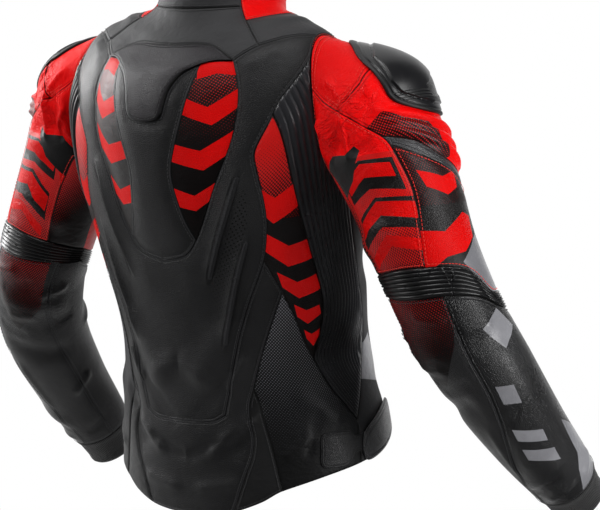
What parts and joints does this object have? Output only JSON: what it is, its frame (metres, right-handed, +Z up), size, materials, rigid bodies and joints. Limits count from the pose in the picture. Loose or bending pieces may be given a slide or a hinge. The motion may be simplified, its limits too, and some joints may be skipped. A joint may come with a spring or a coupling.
{
  "type": "worn motorcycle jacket",
  "caption": "Fitted motorcycle jacket in worn form: panelled leather with a back hump, accordion stretch, padded shoulder ribs, hard shoulder cups, stand collar and front zip.",
  "frame": {"origin": "on the neck's axis at the height of the collar's back seam, where the wearer's neck and shoulders hold the jacket up", "axes": "+X to the wearer's left, +Y out of the wearer's back, +Z up; the front zip faces -Y"},
  "size_m": [0.8735, 0.3809, 0.7031],
  "materials": {
    "leather_black": "smooth black cowhide with a fine grain and a low sheen",
    "leather_red": "bright red dyed cowhide, satin",
    "print": "black laminated textile with a printed design in red and dots",
    "stretch": "black accordion stretch textile, matt",
    "mesh": "black perforated textile with a grey dotted fade",
    "softshell": "black woven softshell, matt",
    "grey_coat": "dark grey coated leather, satin",
    "hard_cup": "moulded black shoulder cup",
    "knit": "black ribbed knit",
    "zip_metal": "dark coated zip metal on black tape"
  },
  "bodies": {
    "jacket": {"back_harness": "leather_black", "back_lower": "leather_black", "collar_back": "softshell", "collar_side_l": "leather_red", "collar_side_r": "leather_red", "cuff_knit_l": "knit", "cuff_knit_r": "knit", "elbow_band_l": "stretch", "elbow_band_r": "stretch", "forearm_back_l": "leather_black", "forearm_back_r": "leather_black", "forearm_inner_l": "leather_black", "forearm_inner_r": "leather_black", "forearm_outer_l": "leather_black", "forearm_outer_r": "leather_black", "front_body_l": "leather_black", "front_body_r": "leather_black", "front_chest_l": "leather_red", "front_chest_r": "leather_red", "front_side_l": "softshell", "front_side_r": "softshell", "front_zip": "zip_metal", "hump_cap": "leather_black", "hump_spine": "leather_black", "hump_window_l": "print", "hump_window_r": "print", "shoulder_cup_l": "hard_cup", "shoulder_cup_r": "hard_cup", "side_mesh_l": "mesh", "side_mesh_r": "mesh", "side_shard_l": "print", "side_shard_r": "print", "side_stretch_l": "stretch", "side_stretch_r": "stretch", "side_tail_l": "leather_black", "side_tail_r": "leather_black", "sleeve_back_l": "leather_red", "sleeve_back_r": "leather_red", "sleeve_band_l": "grey_coat", "sleeve_band_r": "grey_coat", "sleeve_cap_l": "leather_red", "sleeve_cap_r": "leather_red", "sleeve_front_l": "leather_red", "sleeve_front_r": "leather_red", "sleeve_gusset_l": "stretch", "sleeve_gusset_r": "stretch", "sleeve_outer_l": "print", "sleeve_outer_r": "print", "sleeve_ribs_l": "leather_red", "sleeve_ribs_r": "leather_red", "waist_base_l": "softshell", "waist_base_r": "softshell", "waist_tab_l": "grey_coat", "waist_tab_r": "grey_coat", "yoke_back": "softshell", "yoke_side_l": "leather_black", "yoke_side_r": "leather_black", "zip_slider": "zip_metal"},
    "pull_tab": {"zip_pull": "zip_metal"}
  },
  "joints": [
    {"name": "pull_tab_swing", "type": "hinge", "parent": "jacket", "child": "pull_tab", "pos_m": [0, -0.10538, -0.04657], "axis": [-1, 0, 0], "range_deg": [0, 140]}
  ]
}
